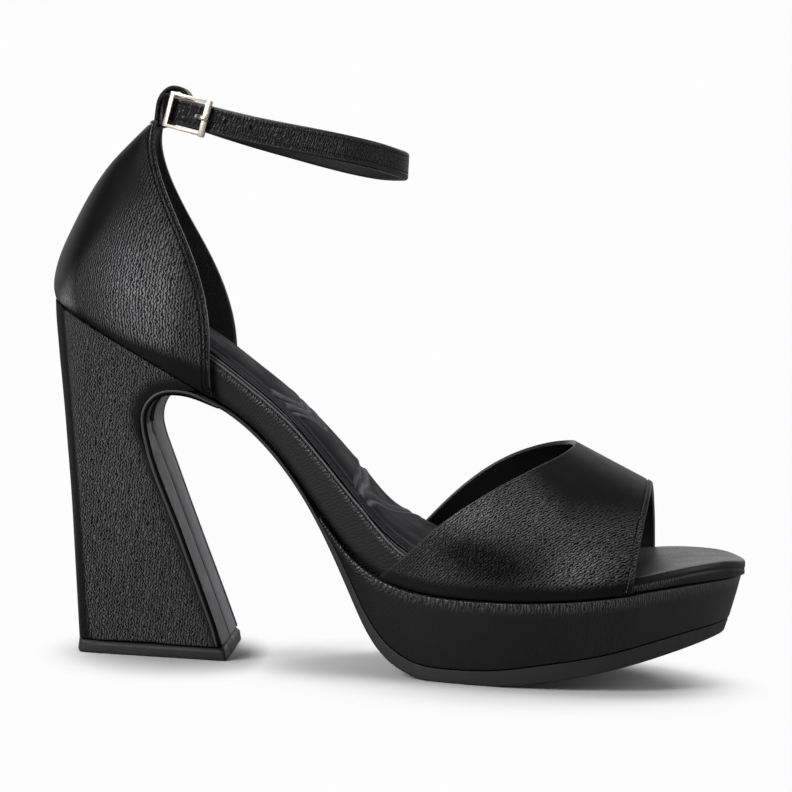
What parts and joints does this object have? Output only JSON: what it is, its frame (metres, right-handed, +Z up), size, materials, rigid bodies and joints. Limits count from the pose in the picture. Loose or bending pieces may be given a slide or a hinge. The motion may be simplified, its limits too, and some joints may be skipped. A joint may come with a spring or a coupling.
{
  "type": "platform sandal",
  "caption": "Block-heeled platform sandal with an open toe, a closed heel counter, a slim buckled ankle strap and a cushioned insole.",
  "frame": {"origin": "centre of the bounding box in X and Y, on the floor the sandal stands on", "axes": "+X from the heel to the toe, +Y to the inner (big toe) side of this right shoe, +Z up"},
  "size_m": [0.2259, 0.0871, 0.1798],
  "materials": {
    "upper_leather": "black grained synthetic leather, satin",
    "insole_leather": "smooth black padded lining, soft sheen",
    "breast_plastic": "moulded grey-black plastic",
    "sole_rubber": "matte black rubber",
    "buckle_metal": "polished pale gold plating"
  },
  "bodies": {
    "root": {"insole_board": "upper_leather", "insole_pad": "insole_leather", "heel_block": "upper_leather", "heel_breast": "breast_plastic", "heel_tip": "sole_rubber", "platform": "upper_leather", "outsole": "sole_rubber", "counter": "upper_leather", "strap_loop": "upper_leather", "ankle_strap": "upper_leather", "vamp": "upper_leather", "buckle_frame": "buckle_metal", "buckle_prong": "buckle_metal"}
  },
  "joints": []
}
